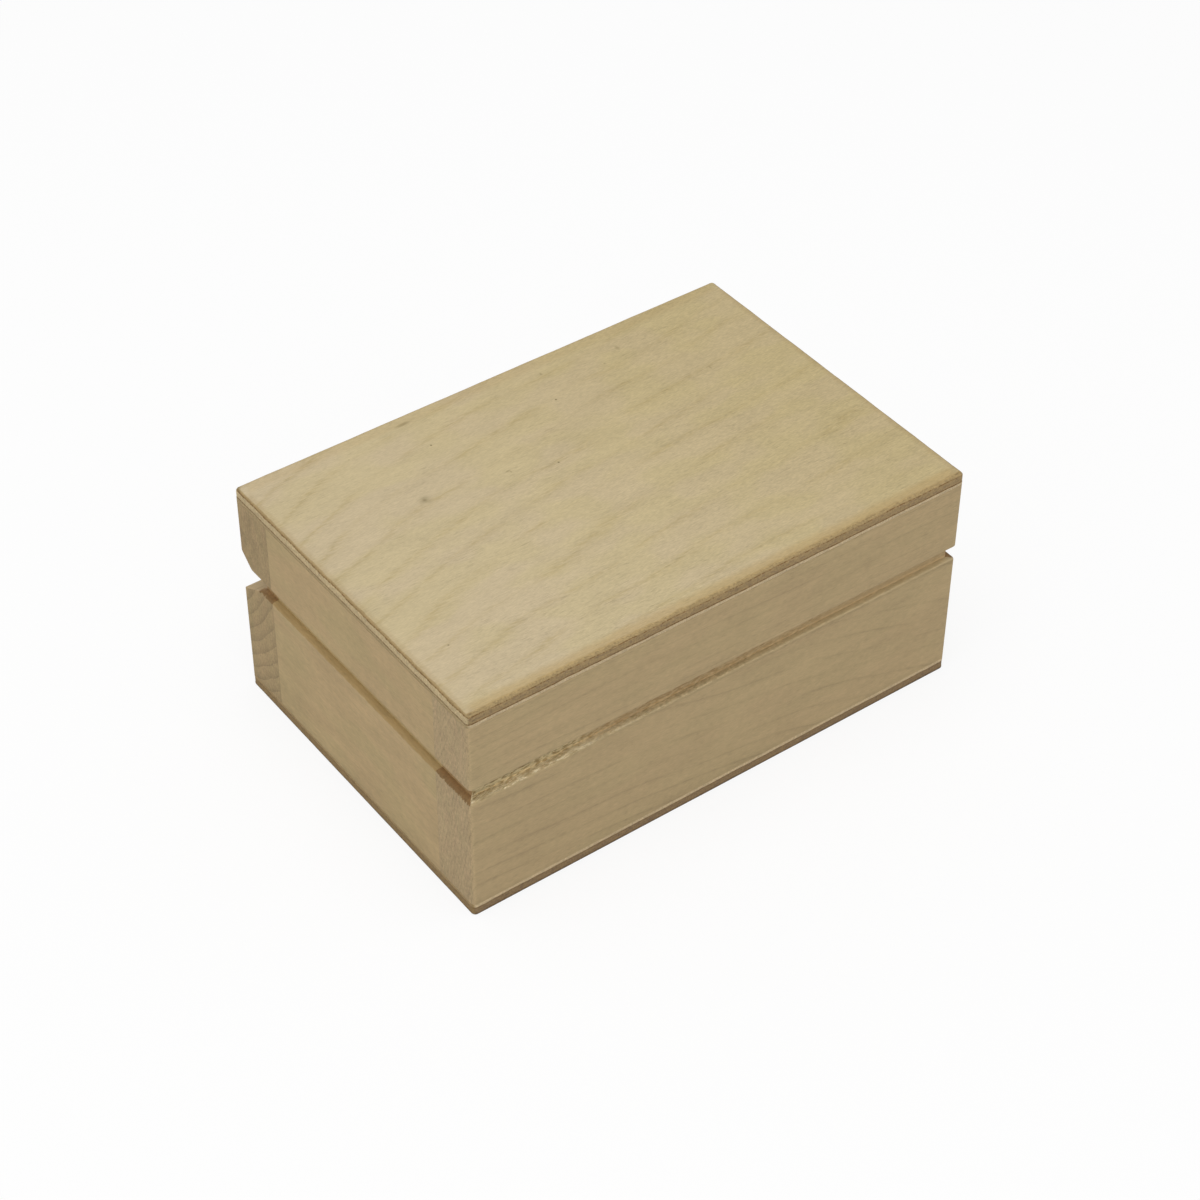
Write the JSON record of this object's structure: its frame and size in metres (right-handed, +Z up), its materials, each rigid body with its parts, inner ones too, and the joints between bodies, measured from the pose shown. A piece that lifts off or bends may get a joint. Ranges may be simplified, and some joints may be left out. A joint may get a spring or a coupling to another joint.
{
  "type": "hinged wooden storage box",
  "caption": "Small rectangular wooden keepsake box with a plywood top and bottom, a shadow groove below the lid, and a lid that swings back on butt hinges.",
  "frame": {"origin": "middle of the underside", "axes": "+X to the right along the front, +Y to the rear, where the hinges are, and +Z up"},
  "size_m": [0.125, 0.085, 0.055],
  "materials": {
    "plywood": "bare sanded birch veneer, with darker plies along the edges",
    "solid_wood": "bare planed light wood",
    "hinge_brass": "rolled brass, slightly dulled",
    "nail_brass": "bright brass"
  },
  "bodies": {
    "base": {"base_bottom_panel": "plywood", "base_front_wall": "solid_wood", "base_rear_wall": "solid_wood", "base_left_wall": "solid_wood", "base_right_wall": "solid_wood", "left_hinge_base_leaf": "hinge_brass", "left_hinge_pin": "hinge_brass", "left_hinge_base_nails": "nail_brass", "right_hinge_base_leaf": "hinge_brass", "right_hinge_pin": "hinge_brass", "right_hinge_base_nails": "nail_brass"},
    "lid": {"lid_panel": "plywood", "lid_front_rail": "solid_wood", "lid_rear_rail": "solid_wood", "lid_left_rail": "solid_wood", "lid_right_rail": "solid_wood", "left_hinge_lid_leaf": "hinge_brass", "left_hinge_lid_nails": "nail_brass", "right_hinge_lid_leaf": "hinge_brass", "right_hinge_lid_nails": "nail_brass"}
  },
  "joints": [
    {"name": "lid_hinge", "type": "hinge", "parent": "base", "child": "lid", "pos_m": [0, 0.03655, 0.0352], "axis": [-1, 0, 0], "range_deg": [0, 95]}
  ]
}
